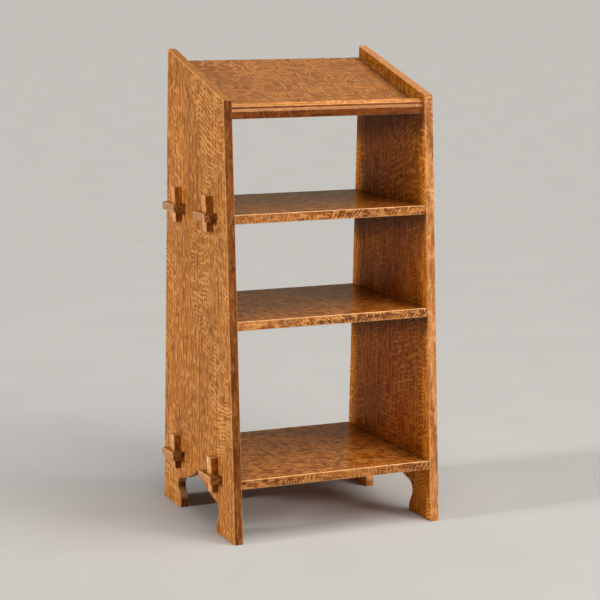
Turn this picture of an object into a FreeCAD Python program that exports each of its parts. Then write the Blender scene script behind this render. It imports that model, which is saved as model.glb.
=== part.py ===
import FreeCAD, Part
import os

import Sketcher
from FreeCAD import Placement, Rotation, Vector

# Arts and Crafts atlas stand in quarter-sawn oak. Two tapered side boards carry
# a sloping desk, two shelves with keyed through tenons and one housed shelf.
# X runs across the stand, the front faces -Y, and Z is up from the floor.
# The origin is on the floor under the middle of the stand.

DRIVING_SIZES = {
    # Side boards
    "overall_height": 1067,
    "top_fall": 98,
    "base_depth": 457,
    "top_depth": 340,
    "side_thickness": 20.6,
    "inside_width": 462,
    "side_bevel": 1.5,
    # Arch between the feet of a side board
    "foot_width": 113.5,
    "toe_height": 8,
    "toe_reach": 17.5,
    "scallop_radius": 22,
    "shoulder_height": 72.5,
    "head_radius": 300,
    "arch_height": 118,
    # Shelves: heights are those of their upper faces
    "shelf_thickness": 20.6,
    "arris_radius": 2,
    "shelf_setback": 3,
    "upper_shelf_height": 723,
    "middle_shelf_height": 491,
    "bottom_shelf_height": 141,
    # Through tenons
    "tenon_width": 70,
    "tenon_thickness": 18.6,
    "tenon_shoulder": 1,
    "tenon_reach": 31,
    "tenon_chamfer": 3,
    "upper_tenon_offset": 98,
    "bottom_tenon_offset": 120,
    # Tusk keys
    "key_width": 25,
    "key_top_thickness": 19,
    "key_bottom_thickness": 15.5,
    "key_above": 37,
    "key_below": 25,
    "key_chamfer": 1.2,
    "key_play": 0.15,
    "draw_gap": 2,
    # Stopped housings of the middle shelf and the desk board
    "housing_depth": 6,
    "housing_stop": 14,
    # Desk board, rail and book stop: the drops are below the sides' top edges
    "desk_drop": 30,
    "desk_back_drop": 27,
    "desk_thickness": 19,
    "rail_setback": 5.4,
    "rail_depth": 30,
    "rail_height": 21.4,
    "rail_chamfer": 6,
    "rail_tenon_length": 12,
    "rail_tenon_shoulder": 6,
    "stop_lip": 4.8,
    "stop_radius": 1.5,
    "dowel_diameter": 6,
    "dowel_in_rail": 12,
    "dowel_in_stop": 5,
    "dowel_spacing": 170,
}

LEFT, RIGHT = -1, 1
FRONT, BACK = -1, 1

doc = FreeCAD.newDocument("atlas_stand")
sizes = doc.addObject("Spreadsheet::Sheet", "sizes")
for row, (alias, millimetres) in enumerate(DRIVING_SIZES.items(), start=1):
    sizes.set(f"A{row}", alias)
    sizes.set(f"B{row}", str(millimetres))
    sizes.setAlias(f"B{row}", alias)
doc.recompute()


# ---------------------------------------------------------------- expressions

def value(expression):
    """What an expression on the sheet comes to, in millimetres."""
    return float(sizes.evalExpression(expression))


def half_depth(height):
    """Half the depth of a side board at a height."""
    lost = f"(sizes.base_depth - sizes.top_depth) * ({height}) / sizes.overall_height"
    return f"((sizes.base_depth - {lost}) / 2)"


HALF_INSIDE = "(sizes.inside_width / 2)"
OUTER_FACE = f"({HALF_INSIDE} + sizes.side_thickness)"
FRONT_HEIGHT = "(sizes.overall_height - sizes.top_fall)"
FRONT_CORNER = f"(-{half_depth(FRONT_HEIGHT)})"
BACK_CORNER = "(sizes.top_depth / 2)"
DESK_RISE = "(sizes.top_fall + sizes.desk_drop - sizes.desk_back_drop)"
DESK_SLOPE = f"({DESK_RISE} / ({BACK_CORNER} - {FRONT_CORNER}))"
DESK_PLUMB_THICKNESS = f"(sizes.desk_thickness * sqrt(1 + {DESK_SLOPE} ^ 2))"


def desk_surface(depth):
    """Height of the desk's reading surface at a place from front to back."""
    return f"({FRONT_HEIGHT} + ({depth} - {FRONT_CORNER}) * {DESK_SLOPE} - sizes.desk_drop)"


def desk_underside(depth):
    """Height of the desk board's underside at a place from front to back."""
    return f"({desk_surface(depth)} - {DESK_PLUMB_THICKNESS})"


RAIL_FRONT = f"({FRONT_CORNER} + sizes.rail_setback)"
RAIL_BACK = f"({RAIL_FRONT} + sizes.rail_depth)"
RAIL_TOP = desk_surface(RAIL_BACK)
RAIL_BOTTOM = f"({RAIL_TOP} - sizes.rail_height)"
STOP_FRONT = f"({RAIL_FRONT} + sizes.rail_chamfer)"
STOP_FRONT_TOP = f"({RAIL_TOP} + sizes.stop_lip)"
STOP_BACK_TOP = f"({STOP_FRONT_TOP} + ({RAIL_BACK} - {STOP_FRONT}) * {DESK_SLOPE})"

KEYED_SHELVES = {
    "upper": ("sizes.upper_shelf_height", "sizes.upper_tenon_offset"),
    "bottom": ("sizes.bottom_shelf_height", "sizes.bottom_tenon_offset"),
}

# A tenon and its key, measured from the shelf's upper face
TENON_TOP = "(-sizes.tenon_shoulder)"
TENON_BOTTOM = f"({TENON_TOP} - sizes.tenon_thickness)"
KEY_TOP = f"({TENON_TOP} + sizes.key_above)"
KEY_BOTTOM = f"({TENON_BOTTOM} - sizes.key_below)"


# ------------------------------------------------------------- drawing helpers

def new_body(label):
    """A PartDesign body for one piece of wood."""
    body = doc.addObject("PartDesign::Body", label)
    body.Label = label
    return body


def origin_plane(body, role):
    """One of a body's own origin planes."""
    return next(plane for plane in body.Origin.OriginFeatures if plane.Role == role)


def new_sketch(body, name, role, offset=None):
    """An empty sketch on one of the body's planes, moved along its normal by an expression."""
    sketch = body.newObject("Sketcher::SketchObject", f"{body.Name}_{name}")
    sketch.AttachmentSupport = (origin_plane(body, role), [""])
    sketch.MapMode = "FlatFace"
    if offset:
        sketch.setExpression("AttachmentOffset.Base.z", offset)
    return sketch


def bind_point(sketch, edge, end, across, up):
    """Ties one end of an edge to two expressions, measured from the sketch's origin."""
    for kind, expression in (("DistanceX", across), ("DistanceY", up)):
        constraint = Sketcher.Constraint(kind, -1, 1, edge, end, value(expression))
        index = sketch.addConstraint(constraint)
        sketch.setExpression(f"Constraints[{index}]", expression)


def draw_polygon(sketch, corners):
    """A closed outline of straight lines through corners given as expressions."""
    points = [Vector(value(across), value(up), 0) for across, up in corners]
    first = sketch.GeometryCount
    for start, end in zip(points, points[1:] + points[:1]):
        sketch.addGeometry(Part.LineSegment(start, end))
    count = len(corners)
    for step, (across, up) in enumerate(corners):
        following = first + (step + 1) % count
        sketch.addConstraint(Sketcher.Constraint("Coincident", first + step, 2, following, 1))
        bind_point(sketch, first + step, 1, across, up)


def draw_rectangle(sketch, left, bottom, right, top):
    """An upright rectangle between four expressions."""
    draw_polygon(sketch, [(left, bottom), (right, bottom), (right, top), (left, top)])


def bind_size(sketch, kind, edge, expression):
    """Ties an edge's Radius or Diameter to an expression."""
    index = sketch.addConstraint(Sketcher.Constraint(kind, edge, value(expression)))
    sketch.setExpression(f"Constraints[{index}]", expression)


def draw_circle(sketch, across, up, diameter):
    """A circle about a point given by expressions."""
    centre = Vector(value(across), value(up), 0)
    circle = sketch.addGeometry(Part.Circle(centre, Vector(0, 0, 1), value(diameter) / 2))
    bind_point(sketch, circle, 3, across, up)
    bind_size(sketch, "Diameter", circle, diameter)


def pad(body, name, sketch, length, backwards=False, both_ways=False):
    """Extrudes a sketch along its normal, against it, or half each way."""
    feature = body.newObject("PartDesign::Pad", f"{body.Name}_{name}")
    feature.Profile = sketch
    feature.setExpression("Length", length)
    feature.Reversed = backwards
    feature.Midplane = both_ways
    doc.recompute()
    return feature


def pocket(body, name, sketch, length, backwards=False, both_ways=False):
    """Cuts a sketch into the body, against its normal unless backwards is set."""
    volume_before = body.Shape.Volume
    feature = body.newObject("PartDesign::Pocket", f"{body.Name}_{name}")
    feature.Profile = sketch
    feature.setExpression("Length", length)
    feature.Reversed = backwards
    feature.Midplane = both_ways
    doc.recompute()
    if not feature.Shape.Volume < volume_before:
        raise RuntimeError(f"{feature.Name} cuts nothing")
    return feature


def round_over(body, name, base, edges, radius):
    """Rounds some edges or all edges of some faces."""
    feature = body.newObject("PartDesign::Fillet", f"{body.Name}_{name}")
    feature.Base = (base, edges)
    feature.setExpression("Radius", radius)
    doc.recompute()
    return feature


def bevel(body, name, base, edges, size):
    """Chamfers some edges or all edges of some faces."""
    feature = body.newObject("PartDesign::Chamfer", f"{body.Name}_{name}")
    feature.Base = (base, edges)
    feature.setExpression("Size", size)
    doc.recompute()
    return feature


def faces_where(shape, test):
    """Names of the faces whose outward normal and centre pass a test."""
    names = []
    for number, face in enumerate(shape.Faces, start=1):
        if test(face.normalAt(0, 0), face.CenterOfMass):
            names.append(f"Face{number}")
    return names


def runs_across(direction):
    """Whether a direction is that of X."""
    return abs(direction.x) > 0.999


def long_edges(shape, test):
    """Names of the straight edges that run across the stand and whose middle passes a test."""
    names = []
    for number, edge in enumerate(shape.Edges, start=1):
        straight = edge.Curve.TypeId == "Part::GeomLine"
        if straight and runs_across(edge.Curve.Direction) and test(edge.CenterOfMass):
            names.append(f"Edge{number}")
    return names


# ------------------------------------------------------------------ side boards

def draw_arc(sketch, centre, start, end):
    """The shorter arc about a centre from one point to another."""
    towards_middle = (start + end) * 0.5 - centre
    middle = centre + towards_middle.normalize() * start.distanceToPoint(centre)
    return sketch.addGeometry(Part.Arc(start, middle, end))


def end_at(sketch, edge, point):
    """Which end of an edge, 1 or 2, lies at a point."""
    return min((1, 2), key=lambda end: sketch.getPoint(edge, end).distanceToPoint(point))


def join(sketch, kind, first, second, point):
    """Joins two edges at a point, Coincident or Tangent."""
    ends = (first, end_at(sketch, first, point), second, end_at(sketch, second, point))
    sketch.addConstraint(Sketcher.Constraint(kind, *ends))


def upper_meeting(first, first_radius, second, second_radius):
    """The upper of the two points where two circles, given by centre and radius, meet."""
    apart = second - first
    span = apart.Length
    along = (first_radius ** 2 - second_radius ** 2 + span ** 2) / (2 * span)
    aside = (first_radius ** 2 - along ** 2) ** 0.5
    foot = first + apart * (along / span)
    across = Vector(-apart.y, apart.x, 0) * (aside / span)
    return max((foot + across, foot - across), key=lambda point: point.y)


def draw_half_arch(sketch, side):
    """Half of the opening between the feet, from its peak down to the floor.

    The head sweeps down from the peak into a round scallop at the ankle, and
    a long reversed curve leads from the scallop to the plumb toe, which
    reaches in past the scallop.
    """
    scallop_up = "(sizes.shoulder_height - sizes.scallop_radius)"
    toe_in = "(sizes.base_depth / 2 - sizes.foot_width)"
    scallop_in = f"({toe_in} + sizes.toe_reach - sizes.scallop_radius)"
    radius = value("sizes.scallop_radius")
    scallop_centre = Vector(side * value(scallop_in), value(scallop_up), 0)
    peak = Vector(0, value("sizes.arch_height"), 0)
    toe_tip = Vector(side * value(toe_in), 0, 0)
    toe_top = Vector(side * value(toe_in), value("sizes.toe_height"), 0)

    head_radius = value("sizes.head_radius")
    head_centre = upper_meeting(peak, head_radius, scallop_centre, head_radius + radius)
    shoulder = scallop_centre + (head_centre - scallop_centre).normalize() * radius
    inwards = value("sizes.scallop_radius - sizes.toe_reach")
    drop = scallop_centre.y - toe_top.y
    toe_radius = (inwards ** 2 + drop ** 2 - radius ** 2) / (2 * value("sizes.toe_reach"))
    toe_centre = toe_top + Vector(side * toe_radius, 0, 0)
    ankle = scallop_centre + (toe_centre - scallop_centre).normalize() * radius

    head = draw_arc(sketch, head_centre, peak, shoulder)
    scallop = draw_arc(sketch, scallop_centre, shoulder, ankle)
    toe_round = draw_arc(sketch, toe_centre, ankle, toe_top)
    toe = sketch.addGeometry(Part.LineSegment(toe_top, toe_tip))
    join(sketch, "Tangent", head, scallop, shoulder)
    join(sketch, "Tangent", scallop, toe_round, ankle)
    join(sketch, "Tangent", toe_round, toe, toe_top)

    bind_point(sketch, head, end_at(sketch, head, peak), "0", "sizes.arch_height")
    bind_size(sketch, "Radius", head, "sizes.head_radius")
    bind_point(sketch, scallop, 3, f"{side} * {scallop_in}", scallop_up)
    bind_size(sketch, "Radius", scallop, "sizes.scallop_radius")
    bind_point(sketch, toe, 1, f"{side} * {toe_in}", "sizes.toe_height")
    bind_point(sketch, toe, 2, f"{side} * {toe_in}", "0")
    return toe, toe_tip


def draw_arch(sketch):
    """The whole opening between the feet."""
    back_toe, back_tip = draw_half_arch(sketch, BACK)
    front_toe, front_tip = draw_half_arch(sketch, FRONT)
    floor = sketch.addGeometry(Part.LineSegment(front_tip, back_tip))
    join(sketch, "Coincident", floor, front_toe, front_tip)
    join(sketch, "Coincident", floor, back_toe, back_tip)


def draw_mortises(sketch, shelf_height, tenon_offset):
    """The front and back mortises for one shelf's tenons."""
    for side in (FRONT, BACK):
        draw_rectangle(
            sketch,
            f"{side} * {tenon_offset} - sizes.tenon_width / 2",
            f"{shelf_height} + {TENON_BOTTOM}",
            f"{side} * {tenon_offset} + sizes.tenon_width / 2",
            f"{shelf_height} + {TENON_TOP}",
        )


def side_board(label, outward):
    """A side board. Its inner face lies on the body's own YZ plane."""
    body = new_body(label)
    body.setExpression("Placement.Base.x", f"{outward} * {HALF_INSIDE}")
    leftwards = outward == LEFT

    outline = new_sketch(body, "outline", "YZ_Plane")
    draw_polygon(outline, [
        ("-sizes.base_depth / 2", "0"),
        ("sizes.base_depth / 2", "0"),
        (BACK_CORNER, "sizes.overall_height"),
        (FRONT_CORNER, FRONT_HEIGHT),
    ])
    pad(body, "board", outline, "sizes.side_thickness", backwards=leftwards)

    arch = new_sketch(body, "arch", "YZ_Plane")
    draw_arch(arch)
    cut_out = pocket(body, "cut_out", arch, "sizes.side_thickness", backwards=not leftwards)
    broad_faces = faces_where(cut_out.Shape, lambda normal, centre: runs_across(normal))
    bevel(body, "bevel", cut_out, broad_faces, "sizes.side_bevel")

    mortises = new_sketch(body, "mortises", "YZ_Plane")
    for shelf_height, tenon_offset in KEYED_SHELVES.values():
        draw_mortises(mortises, shelf_height, tenon_offset)
    pocket(body, "through_mortises", mortises, "sizes.side_thickness", backwards=not leftwards)

    housings = new_sketch(body, "housings", "YZ_Plane")
    tongue = tongue_depth("sizes.middle_shelf_height")
    draw_rectangle(
        housings,
        f"-{tongue}",
        "sizes.middle_shelf_height - sizes.shelf_thickness",
        tongue,
        "sizes.middle_shelf_height",
    )
    draw_polygon(housings, desk_section(f"({BACK_CORNER} - sizes.housing_stop)"))
    pocket(body, "stopped_housings", housings, "sizes.housing_depth", backwards=not leftwards)

    rail_mortise = new_sketch(body, "rail_mortise", "YZ_Plane")
    draw_rectangle(rail_mortise, *RAIL_TENON)
    pocket(body, "rail_tenon_mortise", rail_mortise, "sizes.rail_tenon_length", backwards=not leftwards)
    return body


# ---------------------------------------------------------------------- shelves

def shelf_depth(height):
    """Half the depth of a shelf whose upper face is at a height."""
    return f"({half_depth(height)} - sizes.shelf_setback)"


def tongue_depth(height):
    """Half the depth of the tongue of a housed shelf."""
    return f"({shelf_depth(height)} - sizes.housing_stop)"


def shelf_board(label, height):
    """The plain part of a shelf between the sides, with its upper face at the body's origin."""
    body = new_body(label)
    body.setExpression("Placement.Base.z", height)
    outline = new_sketch(body, "outline", "XY_Plane")
    depth = shelf_depth(height)
    draw_rectangle(outline, f"-{HALF_INSIDE}", f"-{depth}", HALF_INSIDE, depth)
    board = pad(body, "board", outline, "sizes.shelf_thickness", backwards=True)
    arrises = long_edges(board.Shape, lambda middle: True)
    round_over(body, "arris", board, arrises, "sizes.arris_radius")
    return body


def tenoned_shelf(label, height, tenon_offset):
    """A shelf with two keyed through tenons at each end."""
    body = shelf_board(label, height)
    tenon_end = f"({OUTER_FACE} + sizes.tenon_reach)"

    strips = new_sketch(body, "tenon_outline", "XY_Plane", TENON_TOP)
    for side in (FRONT, BACK):
        draw_rectangle(
            strips,
            f"-{tenon_end}",
            f"{side} * {tenon_offset} - sizes.tenon_width / 2",
            tenon_end,
            f"{side} * {tenon_offset} + sizes.tenon_width / 2",
        )
    tenons = pad(body, "tenons", strips, "sizes.tenon_thickness", backwards=True)
    reach = value(tenon_end)
    ends = faces_where(tenons.Shape, lambda normal, centre: abs(abs(centre.x) - reach) < 0.01)
    bevel(body, "tenon_ends", tenons, ends, "sizes.tenon_chamfer")

    wedges = new_sketch(body, "key_mortise_section", "XZ_Plane", tenon_offset)
    for side in (LEFT, RIGHT):
        draw_polygon(wedges, key_section(side, OUTER_FACE, "sizes.draw_gap"))
    width = "(sizes.key_width + 2 * sizes.key_play)"
    front_mortises = pocket(body, "front_key_mortises", wedges, width, both_ways=True)
    mirrored = body.newObject("PartDesign::Mirrored", f"{label}_back_key_mortises")
    mirrored.Originals = [front_mortises]
    mirrored.MirrorPlane = (origin_plane(body, "XZ_Plane"), [""])
    body.Tip = mirrored
    return body


def housed_shelf(label, height):
    """A shelf let into stopped housings in the sides by a tongue at each end."""
    body = shelf_board(label, height)
    reach = f"({HALF_INSIDE} + sizes.housing_depth)"
    depth = tongue_depth(height)
    outline = new_sketch(body, "tongue_outline", "XY_Plane")
    draw_rectangle(outline, f"-{reach}", f"-{depth}", reach, depth)
    pad(body, "tongues", outline, "sizes.shelf_thickness", backwards=True)
    return body


# ------------------------------------------------------------------- tusk keys

def key_section(side, face, relief):
    """A key's tapered section at a side's outer face, its inner edge moved in by a relief."""
    inner = f"{side} * ({face} - {relief})"
    return [
        (inner, KEY_BOTTOM),
        (f"{side} * ({face} + sizes.key_bottom_thickness)", KEY_BOTTOM),
        (f"{side} * ({face} + sizes.key_top_thickness)", KEY_TOP),
        (inner, KEY_TOP),
    ]


def tusk_key(label, outward, height, tenon_offset, side):
    """A wedge that stands in a tenon and bears on the outer face of a side."""
    body = new_body(label)
    if outward == LEFT:
        body.Placement = Placement(Vector(), Rotation(Vector(0, 0, 1), 180))
    body.setExpression("Placement.Base.x", f"{outward} * {OUTER_FACE}")
    body.setExpression("Placement.Base.y", f"{side} * {tenon_offset}")
    body.setExpression("Placement.Base.z", height)
    section = new_sketch(body, "section", "XZ_Plane")
    draw_polygon(section, key_section(RIGHT, "0", "0"))
    wedge = pad(body, "wedge", section, "sizes.key_width", both_ways=True)
    eased = faces_where(wedge.Shape, lambda normal, centre: abs(normal.z) > 0.9 or normal.x > 0.9)
    bevel(body, "eased", wedge, eased, "sizes.key_chamfer")
    return body


# ------------------------------------------------------------------------- desk

def desk_section(back):
    """The desk board's sloping section, with plumb ends, from the rail to a place further back."""
    return [
        (RAIL_BACK, desk_underside(RAIL_BACK)),
        (back, desk_underside(back)),
        (back, desk_surface(back)),
        (RAIL_BACK, desk_surface(RAIL_BACK)),
    ]


def desk_board(label):
    """The sloping reading board, let into stopped housings in the sides."""
    body = new_body(label)
    section = new_sketch(body, "section", "YZ_Plane")
    draw_polygon(section, desk_section(BACK_CORNER))
    board = pad(body, "board", section, "sizes.inside_width", both_ways=True)
    back = value(BACK_CORNER)
    back_edges = long_edges(board.Shape, lambda middle: abs(middle.y - back) < 0.01)
    round_over(body, "arris", board, back_edges, "sizes.arris_radius")
    tongue = new_sketch(body, "tongue_section", "YZ_Plane")
    draw_polygon(tongue, desk_section(f"({BACK_CORNER} - sizes.housing_stop)"))
    pad(body, "tongues", tongue, "sizes.inside_width + 2 * sizes.housing_depth", both_ways=True)
    return body


RAIL_TENON = (
    f"{RAIL_FRONT} + sizes.rail_tenon_shoulder",
    f"{RAIL_BOTTOM} + sizes.rail_tenon_shoulder",
    f"{RAIL_BACK} - sizes.rail_tenon_shoulder",
    f"{RAIL_TOP} - sizes.rail_tenon_shoulder",
)
STOP_MIDDLE = f"(({STOP_FRONT} + {RAIL_BACK}) / 2)"
DOWEL_PLACES = ("-sizes.dowel_spacing", "0", "sizes.dowel_spacing")


def draw_dowel_holes(sketch):
    """The circles of the dowels between the rail and the book stop."""
    for place in DOWEL_PLACES:
        draw_circle(sketch, place, STOP_MIDDLE, "sizes.dowel_diameter")


def front_rail(label):
    """The rail under the front of the desk, with its upper front arris chamfered."""
    body = new_body(label)
    section = new_sketch(body, "section", "YZ_Plane")
    draw_polygon(section, [
        (RAIL_FRONT, RAIL_BOTTOM),
        (RAIL_BACK, RAIL_BOTTOM),
        (RAIL_BACK, RAIL_TOP),
        (STOP_FRONT, RAIL_TOP),
        (RAIL_FRONT, f"{RAIL_TOP} - sizes.rail_chamfer"),
    ])
    rail = pad(body, "rail", section, "sizes.inside_width", both_ways=True)
    bottom = value(RAIL_BOTTOM)
    lower_edges = long_edges(rail.Shape, lambda middle: abs(middle.z - bottom) < 0.01)
    round_over(body, "arris", rail, lower_edges, "sizes.arris_radius")
    stub = new_sketch(body, "tenon_section", "YZ_Plane")
    draw_rectangle(stub, *RAIL_TENON)
    pad(body, "stub_tenons", stub, "sizes.inside_width + 2 * sizes.rail_tenon_length", both_ways=True)
    holes = new_sketch(body, "dowel_circles", "XY_Plane", RAIL_TOP)
    draw_dowel_holes(holes)
    pocket(body, "dowel_holes", holes, "sizes.dowel_in_rail")
    return body


def book_stop(label):
    """The strip along the foot of the desk that keeps a book from sliding off."""
    body = new_body(label)
    section = new_sketch(body, "section", "YZ_Plane")
    draw_polygon(section, [
        (STOP_FRONT, RAIL_TOP),
        (RAIL_BACK, RAIL_TOP),
        (RAIL_BACK, STOP_BACK_TOP),
        (STOP_FRONT, STOP_FRONT_TOP),
    ])
    strip = pad(body, "strip", section, "sizes.inside_width", both_ways=True)
    bottom = value(RAIL_TOP)
    upper_edges = long_edges(strip.Shape, lambda middle: middle.z > bottom + 0.01)
    round_over(body, "arris", strip, upper_edges, "sizes.stop_radius")
    holes = new_sketch(body, "dowel_circles", "XY_Plane", RAIL_TOP)
    draw_dowel_holes(holes)
    pocket(body, "dowel_holes", holes, "sizes.dowel_in_stop", backwards=True)
    return body


def stop_dowels(label):
    """The dowels that hold the book stop on the rail, as one group."""
    dowels = []
    for number, place in enumerate(DOWEL_PLACES, start=1):
        dowel = doc.addObject("Part::Cylinder", f"stop_dowel_{number}")
        dowel.setExpression("Radius", "sizes.dowel_diameter / 2")
        dowel.setExpression("Height", "sizes.dowel_in_rail + sizes.dowel_in_stop")
        dowel.setExpression("Placement.Base.x", place)
        dowel.setExpression("Placement.Base.y", STOP_MIDDLE)
        dowel.setExpression("Placement.Base.z", f"{RAIL_TOP} - sizes.dowel_in_rail")
        dowels.append(dowel)
    group = doc.addObject("Part::Compound", label)
    group.Label = label
    group.Links = dowels
    return group


# --------------------------------------------------------------------- assembly

pieces = [
    side_board("left_side", LEFT),
    side_board("right_side", RIGHT),
    housed_shelf("middle_shelf", "sizes.middle_shelf_height"),
    desk_board("desk_board"),
    front_rail("front_rail"),
    book_stop("book_stop"),
    stop_dowels("stop_dowels"),
]
for level, (shelf_height, tenon_offset) in KEYED_SHELVES.items():
    pieces.append(tenoned_shelf(f"{level}_shelf", shelf_height, tenon_offset))
    for end_name, outward in (("left", LEFT), ("right", RIGHT)):
        for side_name, side in (("front", FRONT), ("back", BACK)):
            label = f"{level}_{end_name}_{side_name}_key"
            pieces.append(tusk_key(label, outward, shelf_height, tenon_offset, side))

doc.recompute()
for item in doc.Objects:
    if "Invalid" in item.State or "Error" in item.State:
        raise RuntimeError(f"{item.Label} failed to build")
os.makedirs("parts", exist_ok=True)
for piece in pieces:
    if piece.Shape.isNull() or not piece.Shape.isValid():
        raise RuntimeError(f"{piece.Label} has no valid shape")
    piece.Shape.exportStep(f"parts/{piece.Label}.step")
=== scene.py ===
import math

import bpy
from mathutils import Euler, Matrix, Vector


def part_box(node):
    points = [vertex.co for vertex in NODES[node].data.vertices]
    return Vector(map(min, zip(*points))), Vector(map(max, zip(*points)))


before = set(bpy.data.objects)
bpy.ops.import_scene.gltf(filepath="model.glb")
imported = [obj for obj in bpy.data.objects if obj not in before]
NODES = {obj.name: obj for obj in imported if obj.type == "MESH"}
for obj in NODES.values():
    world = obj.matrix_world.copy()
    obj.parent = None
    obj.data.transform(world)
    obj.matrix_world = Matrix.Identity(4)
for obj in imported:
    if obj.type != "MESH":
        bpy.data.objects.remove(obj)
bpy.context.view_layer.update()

# An atlas stand in quarter-sawn oak: fumed, stained a warm brown and finished with a satin varnish.
# Metres, +Z up, the front faces -Y. Every board keeps the shape that it has in the frame, and gets
# its own cut of the same oak here: rays, growth rings, pores, end grain, some with a painted sheen,
# arrises that are rubbed and carry a painted highlight, and painted shade in corners and under boards.

MM = 0.001


# ------------------------------------------------------------------------------- colours

def srgb(red, green, blue):
    """A colour in everyday 0 to 255 terms as the linear values that a shader takes."""
    def linear(channel):
        share = channel / 255
        return share / 12.92 if share <= 0.04045 else ((share + 0.055) / 1.055) ** 2.4
    return (linear(red), linear(green), linear(blue), 1)


DARK_FIBRE = srgb(142, 78, 28)
LIGHT_FIBRE = srgb(190, 116, 48)
RED_HEART = srgb(158, 84, 46)
RING_BROWN = srgb(102, 52, 17)
PORE_BROWN = srgb(62, 31, 11)
RAY_GOLD = srgb(224, 156, 88)
END_GRAIN = srgb(128, 74, 32)
# The pale end-grain colour below is a painted sheen: the pale shine of lit end grain
END_SHEEN = srgb(202, 140, 92)
# The darkest brown below is painted shade, for corners and under boards
SHADE_BROWN = srgb(34, 15, 5)
# The pale arris colour below is partly wear and partly a painted highlight
WORN_AND_HIGHLIT = srgb(238, 184, 126)
FLOOR_PALE = srgb(188, 185, 180)
SKY_WHITE = (1, 1, 1, 1)
SKY_CREAM = (1, 0.77, 0.5, 1)
SKY_PALE = srgb(206, 204, 199)

NO_TINT = (1, 1, 1)
PALEST = (0.9, 0.9, 0.9)    # no tint makes the wood paler than this


# ---------------------------------------------------------------------------- node helpers

def link(tree, source, socket):
    """Feeds a socket from another socket, or sets it to a plain value."""
    if isinstance(source, bpy.types.NodeSocket):
        tree.links.new(source, socket)
    else:
        socket.default_value = source


def add(tree, kind, inputs=None, **settings):
    """A new node, with its settings and its inputs by name or number."""
    node = tree.nodes.new("ShaderNode" + kind)
    for name, setting in settings.items():
        setattr(node, name, setting)
    for key, source in (inputs or {}).items():
        link(tree, source, node.inputs[key])
    return node


def maths(tree, operation, *values):
    """The result of a Math node on sockets or numbers."""
    node = add(tree, "Math", dict(enumerate(values)), operation=operation)
    return node.outputs[0]


def vectors(tree, operation, first, second):
    """The result of a Vector Math node on two vectors, which for a dot product is a number."""
    node = add(tree, "VectorMath", {0: first, 1: second}, operation=operation)
    return node.outputs["Value" if operation == "DOT_PRODUCT" else "Vector"]


def remap(tree, value, low, high, to_low=0.0, to_high=1.0):
    """A value eased from one range into another and held inside it."""
    inputs = {"Value": value, "From Min": low, "From Max": high, "To Min": to_low, "To Max": to_high}
    return add(tree, "MapRange", inputs, interpolation_type="SMOOTHSTEP").outputs["Result"]


def blend_colour(tree, share, first, second, mode="MIX"):
    """Two colours blended by a share."""
    node = add(tree, "Mix", data_type="RGBA", blend_type=mode)
    link(tree, share, node.inputs["Factor"])
    colours = [socket for socket in node.inputs if socket.type == "RGBA"]
    link(tree, first, colours[0])
    link(tree, second, colours[1])
    return next(socket for socket in node.outputs if socket.type == "RGBA")


def noise(tree, place, features, octaves, roughness=0.5, shows=None, gives=(0.0, 1.0)):
    """A soft pattern from 0 to 1 at a place, in metres.

    features is how many there are in a metre along each axis of the place,
    which in a board's own place run across its face, through it and along its
    grain. shows is where the pattern starts and where it is whole, and gives
    is what it then ranges over.
    """
    inputs = {
        "Vector": vectors(tree, "MULTIPLY", place, features),
        "Scale": 1.0,
        "Detail": octaves,
        "Roughness": roughness,
    }
    pattern = add(tree, "TexNoise", inputs).outputs["Fac"]
    return remap(tree, pattern, *shows, *gives) if shows else pattern


MIDDLE = 0.5


def centred(tree, value, reach):
    """A 0 to 1 value turned into a swing of reach, either way from nothing."""
    return maths(tree, "MULTIPLY", maths(tree, "SUBTRACT", value, MIDDLE), reach)


def swung(tree, value, reach, onto):
    """A 0 to 1 value turned into a swing of reach, either way from another value."""
    return maths(tree, "MULTIPLY_ADD", maths(tree, "SUBTRACT", value, MIDDLE), reach, onto)


# ------------------------------------------------------------------------- the oak itself

FIGURE_INPUTS = {
    # name: (kind, value used where a board sets nothing else)
    "Place": ("NodeSocketVector", (0, 0, 0)),
    "Log place": ("NodeSocketVector", (0, 0, 0)),
    "Ray strength": ("NodeSocketFloat", 1.0),
    "Ray spacing": ("NodeSocketFloat", 11 * MM),
    "Ray cover": ("NodeSocketFloat", 0.6),
    "Ray sweep": ("NodeSocketFloat", 11.0),
    "Ray ripple": ("NodeSocketFloat", 1.5),
    "Ray lean": ("NodeSocketFloat", 0.0),
    "Ray fan": ("NodeSocketFloat", 0.0),
    "Fleck": ("NodeSocketFloat", 0.6),
    "Ring spacing": ("NodeSocketFloat", 12 * MM),
    "Ring contrast": ("NodeSocketFloat", 0.5),
    "Bands": ("NodeSocketFloat", 0.0),
    "Stave width": ("NodeSocketFloat", 150 * MM),
    "Stave start": ("NodeSocketFloat", 30 * MM),
    "Tint": ("NodeSocketColor", (1, 1, 1, 1)),
}
FIGURE_OUTPUTS = {
    "Colour": "NodeSocketColor",
    "Ray": "NodeSocketFloat",
    "Height": "NodeSocketFloat",
}

# Staves: how far apart in the log two of them can be, through it and along it, and their tones
STAVE_SLIDE = (0.0, 3.1, 7.3)
STAVE_TONES = (0.94, 1.05)


def staves(tree, given, across):
    """Where in the log each glued stave of a board was cut, and how light it is."""
    number = maths(tree, "SUBTRACT", across, given["Stave start"])
    number = maths(tree, "FLOOR", maths(tree, "DIVIDE", number, given["Stave width"]))
    draw = add(tree, "TexWhiteNoise", {"W": number}, noise_dimensions="1D").outputs
    slide = vectors(tree, "MULTIPLY", draw["Color"], STAVE_SLIDE)
    slide = vectors(tree, "ADD", given["Log place"], slide)
    place = vectors(tree, "ADD", given["Place"], slide)
    return place, remap(tree, draw["Value"], 0.0, 1.0, *STAVE_TONES)


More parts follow.
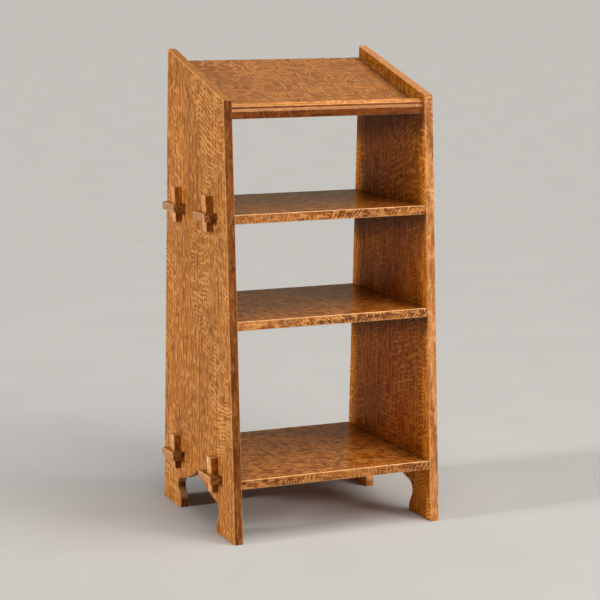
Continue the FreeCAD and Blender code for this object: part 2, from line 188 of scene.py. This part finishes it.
# Rings: how they wander, in rings, where they are bold, and how near a ring's edge its line is
RING_DRIFT = dict(features=(14, 14, 1.3), octaves=1.0)
RING_WANDER = 4.0
RING_PATCHES = dict(features=(45, 45, 12), octaves=1.5, shows=(0.32, 0.68))
RING_EDGE = 0.5
LINE_SHOWS = (0.34, RING_EDGE)


def growth_rings(tree, given, place, across):
    """Growth rings along the grain: the ring's number, its late wood, its dark line and its boldness."""
    rings = maths(tree, "DIVIDE", across, given["Ring spacing"])
    rings = maths(tree, "MULTIPLY_ADD", noise(tree, place, **RING_DRIFT), RING_WANDER, rings)
    number = maths(tree, "FLOOR", rings)
    gap = maths(tree, "ABSOLUTE", maths(tree, "SUBTRACT", maths(tree, "FRACT", rings), MIDDLE))
    late_wood = remap(tree, gap, RING_EDGE, 0.0)
    boldness = noise(tree, place, **RING_PATCHES)
    line = maths(tree, "MULTIPLY", remap(tree, gap, *LINE_SHOWS), boldness)
    return number, late_wood, line, boldness


# Rays: how the ribbons sweep, ripple, slant through the board and step at a ring
RAY_SWEEP = dict(features=(7, 10, 4.5), octaves=1.0)
RAY_RIPPLE = dict(features=(18, 30, 22), octaves=2.0)
RAY_SLANT = dict(features=(2, 2, 3.5), octaves=0.0)
SLANT_SWING = 460.0
SLANT_MEAN = 25.0
RING_STEP = 0.3

# Then how wide and how soft a ribbon is, what a ring's line takes from it, and where rays flame up
RAY_WIDTH = dict(features=(30, 40, 75), octaves=2.0, roughness=0.6, shows=(0.30, 0.66), gives=(0.06, 0.50))
RIBBON_SOFT = 0.15
RIBBON_TURN = 0.5
LINE_CUT = -0.75
RAY_FLAME = dict(features=(7, 12, 4), octaves=1.5)
COVER_LIFT = 0.4
FLAME_SHOWS = (0.62, 0.80)
FLAME_GIVES = (0.12, 1.0)
FLECKS = dict(features=(110, 140, 48), octaves=2.0, roughness=0.6, shows=(0.50, 0.62))


def ray_turns(tree, given, place, parts, ring_number):
    """A slow, wandering field whose level lines the rays follow, and which steps a little at every ring."""
    across, through, along = parts
    turns = maths(tree, "DIVIDE", along, given["Ray spacing"])
    turns = maths(tree, "MULTIPLY_ADD", across, given["Ray lean"], turns)
    sweep = centred(tree, noise(tree, place, **RAY_SWEEP), given["Ray sweep"])
    turns = maths(tree, "ADD", turns, sweep)
    ripple = centred(tree, noise(tree, place, **RAY_RIPPLE), given["Ray ripple"])
    turns = maths(tree, "ADD", turns, ripple)
    step = add(tree, "TexWhiteNoise", {"W": ring_number}, noise_dimensions="1D").outputs["Value"]
    turns = maths(tree, "MULTIPLY_ADD", step, RING_STEP, turns)
    slant = centred(tree, noise(tree, place, **RAY_SLANT), SLANT_SWING)
    slant = maths(tree, "MULTIPLY_ADD", along, given["Ray fan"], slant)
    return maths(tree, "MULTIPLY_ADD", through, maths(tree, "ADD", slant, SLANT_MEAN), turns)


def ray_ribbons(tree, given, place, turns, ring_line):
    """How much ray shows: ribbons where it flames up, flecks all over, and less on a ring's line."""
    band = maths(tree, "PINGPONG", turns, RIBBON_TURN)
    width = noise(tree, place, **RAY_WIDTH)
    ribbon = remap(tree, maths(tree, "SUBTRACT", band, width), 0.0, RIBBON_SOFT)
    uncut = maths(tree, "MULTIPLY_ADD", ring_line, LINE_CUT, 1.0)
    flame = maths(tree, "MULTIPLY_ADD", given["Ray cover"], COVER_LIFT, noise(tree, place, **RAY_FLAME))
    flame = remap(tree, flame, *FLAME_SHOWS, *FLAME_GIVES)
    ray = maths(tree, "MULTIPLY", ribbon, flame)
    fleck = maths(tree, "MULTIPLY", noise(tree, place, **FLECKS), given["Fleck"])
    ray = maths(tree, "MAXIMUM", ray, fleck)
    ray = maths(tree, "MULTIPLY", ray, uncut)
    return maths(tree, "MULTIPLY", ray, given["Ray strength"])


# Fibre, pores and the slow changes of tone along a board
STREAKS = dict(features=(95, 95, 20), octaves=4.0, roughness=0.7)
FIBRES = dict(features=(800, 800, 22), octaves=2.0, roughness=0.6)
PORES = dict(features=(1500, 1500, 90), octaves=1.0, shows=(0.60, 0.70))
HEARTS = dict(features=(16, 16, 2), octaves=2.0, shows=(0.45, 0.75))
DARK_BANDS = dict(features=(38, 38, 2.6), octaves=3.0, roughness=0.6, shows=(0.40, 0.62))
CLOUDS = dict(features=(9, 9, 3), octaves=2.0, shows=(0.25, 0.75), gives=(0.88, 1.10))
GRAIN_SHOWS = (0.35, 0.65)

# How much each colours the wood, and how far it stands out or sinks in
FIBRE_SWING = 0.6
HEART_SHARE = 0.4
LINE_SHARE = 0.8
RAY_SHARE = 0.8
PORE_SHARE = 0.5
RAY_RISE = 0.35
FIBRE_RISE = 0.35
PORE_SINK = -1.0


def oak_figure():
    """Node group: what quarter-sawn oak looks like at a place in a board.

    Place runs from the board's middle across its face, through its thickness
    and along its grain, and log place says where in the log it was cut, both
    in metres. Rays cross the grain in flowing ribbons, growth rings and pores
    run along it, and a wide board is glued up from staves.
    """
    tree = bpy.data.node_groups.new("quartersawn_oak", "ShaderNodeTree")
    for name, (kind, value) in FIGURE_INPUTS.items():
        tree.interface.new_socket(name, in_out="INPUT", socket_type=kind).default_value = value
    for name, kind in FIGURE_OUTPUTS.items():
        tree.interface.new_socket(name, in_out="OUTPUT", socket_type=kind)
    given = tree.nodes.new("NodeGroupInput").outputs
    parts = tuple(add(tree, "SeparateXYZ", {0: given["Place"]}).outputs)
    across = parts[0]

    place, stave_tone = staves(tree, given, across)
    ring_number, late_wood, ring_line, boldness = growth_rings(tree, given, place, across)
    turns = ray_turns(tree, given, place, parts, ring_number)
    ray = ray_ribbons(tree, given, place, turns, ring_line)
    fibre = noise(tree, place, **FIBRES)
    pore = noise(tree, place, **PORES)

    grain = swung(tree, fibre, FIBRE_SWING, noise(tree, place, **STREAKS))
    ring_swing = maths(tree, "MULTIPLY", boldness, given["Ring contrast"])
    grain = swung(tree, late_wood, ring_swing, grain)
    colour = blend_colour(tree, remap(tree, grain, *GRAIN_SHOWS), DARK_FIBRE, LIGHT_FIBRE)
    layers = (
        # (pattern, how much of it, its colour), each over the ones before it
        (noise(tree, place, **HEARTS), HEART_SHARE, RED_HEART),
        (noise(tree, place, **DARK_BANDS), given["Bands"], RING_BROWN),
        (ring_line, maths(tree, "MULTIPLY", given["Ring contrast"], LINE_SHARE), RING_BROWN),
        (ray, RAY_SHARE, RAY_GOLD),
        (pore, PORE_SHARE, PORE_BROWN),
    )
    for pattern, share, over in layers:
        colour = blend_colour(tree, maths(tree, "MULTIPLY", pattern, share), colour, over)
    shade = maths(tree, "MULTIPLY", noise(tree, place, **CLOUDS), stave_tone)
    tint = add(tree, "VectorMath", {0: given["Tint"], "Scale": shade}, operation="SCALE").outputs[0]
    colour = blend_colour(tree, 1.0, colour, tint, "MULTIPLY")
    colour = vectors(tree, "MINIMUM", colour, PALEST)

    height = maths(tree, "MULTIPLY_ADD", ray, RAY_RISE, maths(tree, "MULTIPLY", pore, PORE_SINK))
    height = maths(tree, "MULTIPLY_ADD", fibre, FIBRE_RISE, height)
    result = tree.nodes.new("NodeGroupOutput")
    link(tree, colour, result.inputs["Colour"])
    link(tree, ray, result.inputs["Ray"])
    link(tree, height, result.inputs["Height"])
    return tree


OAK = oak_figure()


# ------------------------------------------------------------------- wear, painted highlights and shade, and varnish

# How squarely a surface faces a way where it starts to count as turned that way, and where it
# wholly does. An arris is the other way round: it is what faces no way squarely.
SIDE_TURN = (0.5, 0.9)
END_TURN = (0.55, 0.9)
ARRIS_TURN = (0.99, 0.90)


def facing(tree, normal, axis):
    """How squarely a surface faces along an axis of the board, either way."""
    parts = add(tree, "SeparateXYZ", {0: normal}).outputs
    return maths(tree, "ABSOLUTE", parts["XYZ".index(axis)])


END_SPECKLE = dict(features=(900, 900, 900), octaves=2.0, roughness=0.7, shows=(0.45, 0.65), gives=(0.0, 0.6))
END_STAIN_AND_SHEEN = 0.6


def stained_and_sheened_ends(tree, colour, normal, place, grain_axis, end_colour):
    """End grain tends to its end colour, a darker stain on most boards and a painted sheen on some, and is
    pricked all over with pores.
    """
    ends = remap(tree, facing(tree, normal, grain_axis), *END_TURN)
    pricked = blend_colour(tree, noise(tree, place, **END_SPECKLE), end_colour, RING_BROWN)
    return blend_colour(tree, maths(tree, "MULTIPLY", ends, END_STAIN_AND_SHEEN), colour, pricked)


PALING_AT_ENDS = 0.4


def worn_and_highlit_arrises(tree, colour, normal, along, half_length, rubbed, proud):
    """Arrises are painted paler, partly as wear and partly as a painted highlight, and less so within proud
    of the ends.
    """
    squares = [facing(tree, normal, axis) for axis in "XYZ"]
    squarest = maths(tree, "MAXIMUM", maths(tree, "MAXIMUM", squares[0], squares[1]), squares[2])
    arris = remap(tree, squarest, *ARRIS_TURN)
    if proud:
        shoulder = half_length - proud
        out = maths(tree, "ABSOLUTE", along)
        rubbed = remap(tree, out, shoulder - MM, shoulder, rubbed, PALING_AT_ENDS * rubbed)
    return blend_colour(tree, maths(tree, "MULTIPLY", arris, rubbed), colour, WORN_AND_HIGHLIT)


# How steeply the desk rises toward the back, and how steeply the painted shade under a board sinks that way
DESK_SLOPE = 0.297
SHADE_SLOPE = 0.18
SHADE_DEPTH = 60 * MM
SHADE_LAP = 10 * MM
DESK_LINE_SOFT = 3 * MM
# How dark the painted shade is under a board, and on a side's lip above the desk
UNDER_BOARD_SHADE = 0.7
LIP_SHADE = 0.6


def painted_shade_under_boards(tree, place):
    """Painted shade on a side's inner face: most under each board, deeper toward the back, and some on the
    lip above the desk.
    """
    height = add(tree, "SeparateXYZ", {0: place}).outputs["Z"]
    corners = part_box("desk_board")
    middle = (corners[0] + corners[1]) / 2
    desk_line = middle.z - DESK_SLOPE * middle.y
    over_desk = vectors(tree, "DOT_PRODUCT", place, (0, -DESK_SLOPE, 1))
    above_desk = remap(tree, over_desk, desk_line - DESK_LINE_SOFT, desk_line + DESK_LINE_SOFT)
    lift = vectors(tree, "DOT_PRODUCT", place, (0, SHADE_SLOPE, 1))
    share = maths(tree, "MULTIPLY", above_desk, LIP_SHADE)
    for node in ("front_rail", "upper_shelf", "middle_shelf"):
        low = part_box(node)[0]
        line = low.z + SHADE_SLOPE * low.y
        band = remap(tree, lift, line - SHADE_DEPTH, line + SHADE_LAP, 0.0, UNDER_BOARD_SHADE)
        if node == "front_rail":
            below = maths(tree, "SUBTRACT", 1.0, above_desk)
        else:
            below = remap(tree, height, low.z + SHADE_LAP, low.z)
        share = maths(tree, "MAXIMUM", share, maths(tree, "MULTIPLY", band, below))
    return share


# Painted shade in the corners between boards: how far it reaches, how finely, where it shows, and the height
# near the floor below which there is none
CORNER_REACH = 100 * MM
CORNER_SAMPLES = 8
CORNER_SHOWS = (0.95, 0.45)
UNSHADED_BELOW = 110 * MM
UNSHADED_FADE = 20 * MM


def painted_corner_shade(tree, colour, place, grime, inner_face):
    """Painted shade darkens the corners between boards, from ambient occlusion, but not near the floor.

    The inner face mask, where it is given, is how far a surface is the inner face of a
    side. That face also gets the painted shade under each board, and the rest of
    the side gets no painted shade.
    """
    corner = add(tree, "AmbientOcclusion", {"Distance": CORNER_REACH}, samples=CORNER_SAMPLES)
    share = remap(tree, corner.outputs["AO"], *CORNER_SHOWS, 0.0, grime)
    height = add(tree, "SeparateXYZ", {0: place}).outputs["Z"]
    share = maths(tree, "MULTIPLY", share, remap(tree, height, UNSHADED_BELOW, UNSHADED_BELOW + UNSHADED_FADE))
    if inner_face is not None:
        share = maths(tree, "MAXIMUM", share, painted_shade_under_boards(tree, place))
        share = maths(tree, "MULTIPLY", share, inner_face)
    return blend_colour(tree, share, colour, SHADE_BROWN)


VARNISH_IOR = 1.45
ROUGHER_BETWEEN_RAYS = 0.03
SMOOTHER_ON_RAYS = 0.05
FIGURE_BUMP = 0.35
FIGURE_DEPTH = 0.15 * MM


def varnished(tree, colour, figure, gloss, sheen):
    """Finishes a board's node tree with a satin varnish that the wood's figure stands in."""
    varnish = add(tree, "BsdfPrincipled")
    varnish.inputs["IOR"].default_value = VARNISH_IOR
    varnish.inputs["Specular IOR Level"].default_value = sheen
    link(tree, colour, varnish.inputs["Base Color"])
    rough = remap(tree, figure["Ray"], 0.0, 1.0, gloss + ROUGHER_BETWEEN_RAYS, gloss - SMOOTHER_ON_RAYS)
    link(tree, rough, varnish.inputs["Roughness"])
    relief = {"Strength": FIGURE_BUMP, "Distance": FIGURE_DEPTH, "Height": figure["Height"]}
    link(tree, add(tree, "Bump", relief).outputs[0], varnish.inputs["Normal"])
    output = add(tree, "OutputMaterial")
    link(tree, varnish.outputs[0], output.inputs["Surface"])


def oak_board(node, order, log_place, tint=NO_TINT, edge_tint=NO_TINT, inner_shading_tint=NO_TINT, inner=None,
              gloss=0.4, rubbed=0.5, edge_rays=1.0, end_colour=END_GRAIN, sheen=0.15, proud=0.0, grime=0.0,
              **figure):
    """Gives a node the varnished oak of one board.

    order names the object's axes that run across the board's face, through
    it and along its grain. log_place is where in the log it was cut. tint
    colours the board, and edge_tint its long narrow edges, where edge_rays is
    how much of them the rays cover. The inner tint colours the face that looks
    along inner, as painted light and shade on that face. gloss is the
    varnish's roughness and sheen its specular level. The arris share is how
    far the arrises are painted paler, as wear and as a painted highlight, less
    so within proud of the ends, and end_colour is what the end grain tends
    to: a darker stain on most boards, a painted sheen on some. The corner
    shade is how dark the painted shade is in the corners against other
    boards; where it is set, a side's inner face also gets painted shade under
    each board. figure is what else the board sets of FIGURE_INPUTS.
    """
    material = bpy.data.materials.new(node + "_oak")
    material.use_nodes = True
    tree = material.node_tree
    tree.nodes.clear()
    low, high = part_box(node)
    half_length = (high - low)["XYZ".index(order[2])] / 2
    coordinates = add(tree, "TexCoord").outputs
    place, normal = coordinates["Object"], coordinates["Normal"]
    from_middle = vectors(tree, "SUBTRACT", place, tuple((low + high) / 2))
    parts = add(tree, "SeparateXYZ", {0: from_middle}).outputs
    turned = {number: parts["XYZ".index(axis)] for number, axis in enumerate(order)}
    board_place = add(tree, "CombineXYZ", turned).outputs[0]

    cut = tree.nodes.new("ShaderNodeGroup")
    cut.node_tree = OAK
    link(tree, board_place, cut.inputs["Place"])
    link(tree, log_place, cut.inputs["Log place"])
    for key, value in figure.items():
        link(tree, value, cut.inputs[key.replace("_", " ").capitalize()])
    edge = remap(tree, facing(tree, normal, order[0]), *SIDE_TURN)
    face_tint = (*tint, 1)
    inner_face = None
    # A side's inner face takes its own tint, as painted light and shade on that face
    if inner:
        inner_face = remap(tree, vectors(tree, "DOT_PRODUCT", normal, inner), *SIDE_TURN)
        face_tint = blend_colour(tree, inner_face, face_tint, (*inner_shading_tint, 1))
    link(tree, blend_colour(tree, edge, face_tint, (*edge_tint, 1)), cut.inputs["Tint"])
    cover = cut.inputs["Ray cover"].default_value
    link(tree, remap(tree, edge, 0.0, 1.0, cover, edge_rays), cut.inputs["Ray cover"])

    colour = stained_and_sheened_ends(tree, cut.outputs["Colour"], normal, board_place, order[2], end_colour)
    colour = worn_and_highlit_arrises(tree, colour, normal, turned[2], half_length, rubbed, proud)
    if grime:
        colour = painted_corner_shade(tree, colour, place, grime, inner_face)
    varnished(tree, colour, cut.outputs, gloss, sheen)
    for slot in NODES[node].material_slots:
        slot.material = material


# --------------------------------------------------------------------------------- boards

SIDE = dict(
    gloss=0.5,
    sheen=0.08,
    rubbed=0.35,
    grime=0.1,
    Ring_spacing=15 * MM,
    Ring_contrast=0.25,
    Stave_width=360 * MM,
    Stave_start=130 * MM,
)
LEVEL = dict(grime=0.6, Ray_fan=-500.0, Ray_spacing=9 * MM)
SHELF = dict(
    LEVEL,
    gloss=0.2,
    sheen=0.26,
    rubbed=0.8,
    edge_rays=1.5,
    Bands=0.5,
    Ray_strength=1.9,
    Ray_cover=1.0,
    Ray_lean=45.0,
    Fleck=0.7,
    Ring_contrast=1.2,
)
THROUGH_SHELF = dict(SHELF, proud=31 * MM, end_colour=END_SHEEN)
DESK = dict(
    LEVEL,
    gloss=0.35,
    sheen=0.16,
    Bands=0.6,
    Ray_strength=1.4,
    Ray_cover=0.75,
    Ring_contrast=2.2,
    Ring_spacing=9 * MM,
    Fleck=0.8,
)

oak_board("left_side", "YXZ", (0.16, 0.31, 0.13), tint=(1.04, 1.08, 1.05), edge_tint=(0.48, 0.4, 0.34),
          inner=(1, 0, 0), inner_shading_tint=(0.8, 0.66, 0.42), edge_rays=-0.5,
          **SIDE, Ray_lean=-28, Ray_cover=0.5, Fleck=0.8)
oak_board("right_side", "YXZ", (0.2, 1.27, 0.52), edge_tint=(1.27, 1.45, 2.2),
          inner=(-1, 0, 0), inner_shading_tint=(1.54, 1.36, 0.44), edge_rays=0.2, end_colour=END_SHEEN,
          **SIDE, Ray_lean=20)
oak_board("upper_shelf", "YZX", (0.4, 0.2, 0.0), tint=(0.68, 0.5, 0.22), edge_tint=(0.9, 0.83, 0.84),
          **THROUGH_SHELF)
oak_board("middle_shelf", "YZX", (0.9, 0.7, 0.0), tint=(0.8, 0.6, 0.27), edge_tint=(1.0, 0.96, 0.9),
          **SHELF)
oak_board("bottom_shelf", "YZX", (1.7, 1.3, 0.0), tint=(0.98, 0.78, 0.42), edge_tint=(0.76, 0.68, 0.6),
          **THROUGH_SHELF)
oak_board("desk_board", "YZX", (2.3, 0.9, 0.0), tint=(0.62, 0.47, 0.33), **DESK)
oak_board("front_rail", "ZYX", (3.1, 0.4, 0.0), tint=(0.38, 0.25, 0.07), edge_tint=(1.0, 0.92, 0.85),
          rubbed=0.2, Ray_spacing=8 * MM)
oak_board("book_stop", "YZX", (3.7, 0.1, 0.0), tint=(1.4, 1.4, 1.5), edge_tint=(0.55, 0.42, 0.35),
          edge_rays=-0.5)
oak_board("stop_dowels", "YXZ", (4.0, 0.0, 0.0))

# The keys are cut one after another from one stick. Their faces are tinted paler, partly as a painted sheen
# on their lit faces, and the front and back faces of the upper keys are set lighter than those of the bottom
# ones
KEY_STICK = (0.6, 0.3)
KEY_START = 0.2
KEY_PITCH = 0.11
KEY_TONE_AND_SHEEN = (1.7, 2.3, 4.2)
KEY_EDGE_TINTS = {"upper": (1.05, 1.0, 0.6), "bottom": (0.75, 0.66, 0.3)}
for number, node in enumerate(sorted(node for node in NODES if node.endswith("_key"))):
    level = node.split("_")[0]
    along = KEY_START + KEY_PITCH * number
    oak_board(node, "YXZ", (*KEY_STICK, along), tint=KEY_TONE_AND_SHEEN, edge_tint=KEY_EDGE_TINTS[level],
              rubbed=0.3, edge_rays=0.2, Ray_cover=0.2)


# ---------------------------------------------------------------------------------- stage

FLOOR_REACH = 400.0
FLOOR_MOTTLE = dict(features=(3, 3, 3), octaves=4.0, shows=(0.3, 0.7), gives=(0.97, 1.0))
FLOOR_ROUGHNESS = 0.9
FLOOR_SHEEN = 0.1


def floor_paper():
    """A matt, pale, faintly mottled paper."""
    material = bpy.data.materials.new("stage_paper")
    material.use_nodes = True
    tree = material.node_tree
    shader = tree.nodes["Principled BSDF"]
    mottle = noise(tree, add(tree, "TexCoord").outputs["Object"], **FLOOR_MOTTLE)
    grey = add(tree, "CombineColor", {0: mottle, 1: mottle, 2: mottle}).outputs[0]
    link(tree, blend_colour(tree, 1.0, FLOOR_PALE, grey, "MULTIPLY"), shader.inputs["Base Color"])
    shader.inputs["Roughness"].default_value = FLOOR_ROUGHNESS
    shader.inputs["Specular IOR Level"].default_value = FLOOR_SHEEN
    return material


def studio_floor():
    """A wide, pale, level floor."""
    corners = [(x * FLOOR_REACH, y * FLOOR_REACH, 0) for x, y in ((-1, -1), (1, -1), (1, 1), (-1, 1))]
    mesh = bpy.data.meshes.new("studio_floor")
    mesh.from_pydata(corners, [], [(0, 1, 2, 3)])
    mesh.materials.append(floor_paper())
    floor = bpy.data.objects.new("studio_floor", mesh)
    bpy.context.scene.collection.objects.link(floor)
    return floor


studio_floor()


# --------------------------------------------------------------------------------- lights

AIM = Vector((0, 0, 0.5))


def hang(name, lamp, place):
    """Hangs a lamp at a place and turns it to look at the stand."""
    holder = bpy.data.objects.new(name, lamp)
    holder.location = place
    holder.rotation_euler = (AIM - Vector(place)).to_track_quat("-Z", "Y").to_euler()
    bpy.context.scene.collection.objects.link(holder)


def softbox(name, place, size, strength):
    """A square soft light that looks at the stand."""
    lamp = bpy.data.lights.new(name, "AREA")
    lamp.shape = "SQUARE"
    lamp.size = size
    lamp.energy = strength
    hang(name, lamp, place)


def open_sky(name, place, spread, strength):
    """Broad, even light from one side of the sky, the same over the whole floor."""
    lamp = bpy.data.lights.new(name, "SUN")
    lamp.angle = math.radians(spread)
    lamp.energy = strength
    hang(name, lamp, place)


open_sky("key_from_left", place=(-4.0, 0.0, 1.7), spread=10, strength=2.15)
softbox("fill_from_right", place=(2.0, -3.0, 2.0), size=1.0, strength=38)
open_sky("top_light", place=(0.6, -1.5, 3.1), spread=70, strength=3.1)

# A faint white sky lights the stand, the varnish mirrors a cream one, and a pale one stands behind it
WHITE_LEVEL = 0.09
CREAM_LEVEL = 0.25
PALE_LEVEL = 1.0

world = bpy.data.worlds.new("studio")
world.use_nodes = True
sky = world.node_tree
sky.nodes.clear()
ray_kind = add(sky, "LightPath").outputs
lighting = add(sky, "Background", {"Color": SKY_WHITE, "Strength": WHITE_LEVEL}).outputs[0]
mirrored = add(sky, "Background", {"Color": SKY_CREAM, "Strength": CREAM_LEVEL}).outputs[0]
behind = add(sky, "Background", {"Color": SKY_PALE, "Strength": PALE_LEVEL}).outputs[0]
met = add(sky, "MixShader", {0: ray_kind["Is Glossy Ray"], 1: lighting, 2: mirrored}).outputs[0]
met = add(sky, "MixShader", {0: ray_kind["Is Camera Ray"], 1: met, 2: behind}).outputs[0]
link(sky, met, add(sky, "OutputWorld").inputs["Surface"])
bpy.context.scene.world = world


# --------------------------------------------------------------------------------- camera

CAMERA_PLACE = (-1.7866, -4.1164, 1.2398)
CAMERA_YAW = 0.4103
CAMERA_PITCH = -0.1646
FOCAL_PIXELS = 1973.8
FRAME_PIXELS = 600
SENSOR = 36.0

camera_data = bpy.data.cameras.new("camera")
camera_data.sensor_width = SENSOR
camera_data.lens = FOCAL_PIXELS * SENSOR / FRAME_PIXELS
camera = bpy.data.objects.new("camera", camera_data)
camera.location = CAMERA_PLACE
camera.rotation_euler = Euler((math.pi / 2 + CAMERA_PITCH, 0, -CAMERA_YAW))
bpy.context.scene.collection.objects.link(camera)
bpy.context.scene.camera = camera
bpy.context.scene.view_settings.view_transform = "Standard"
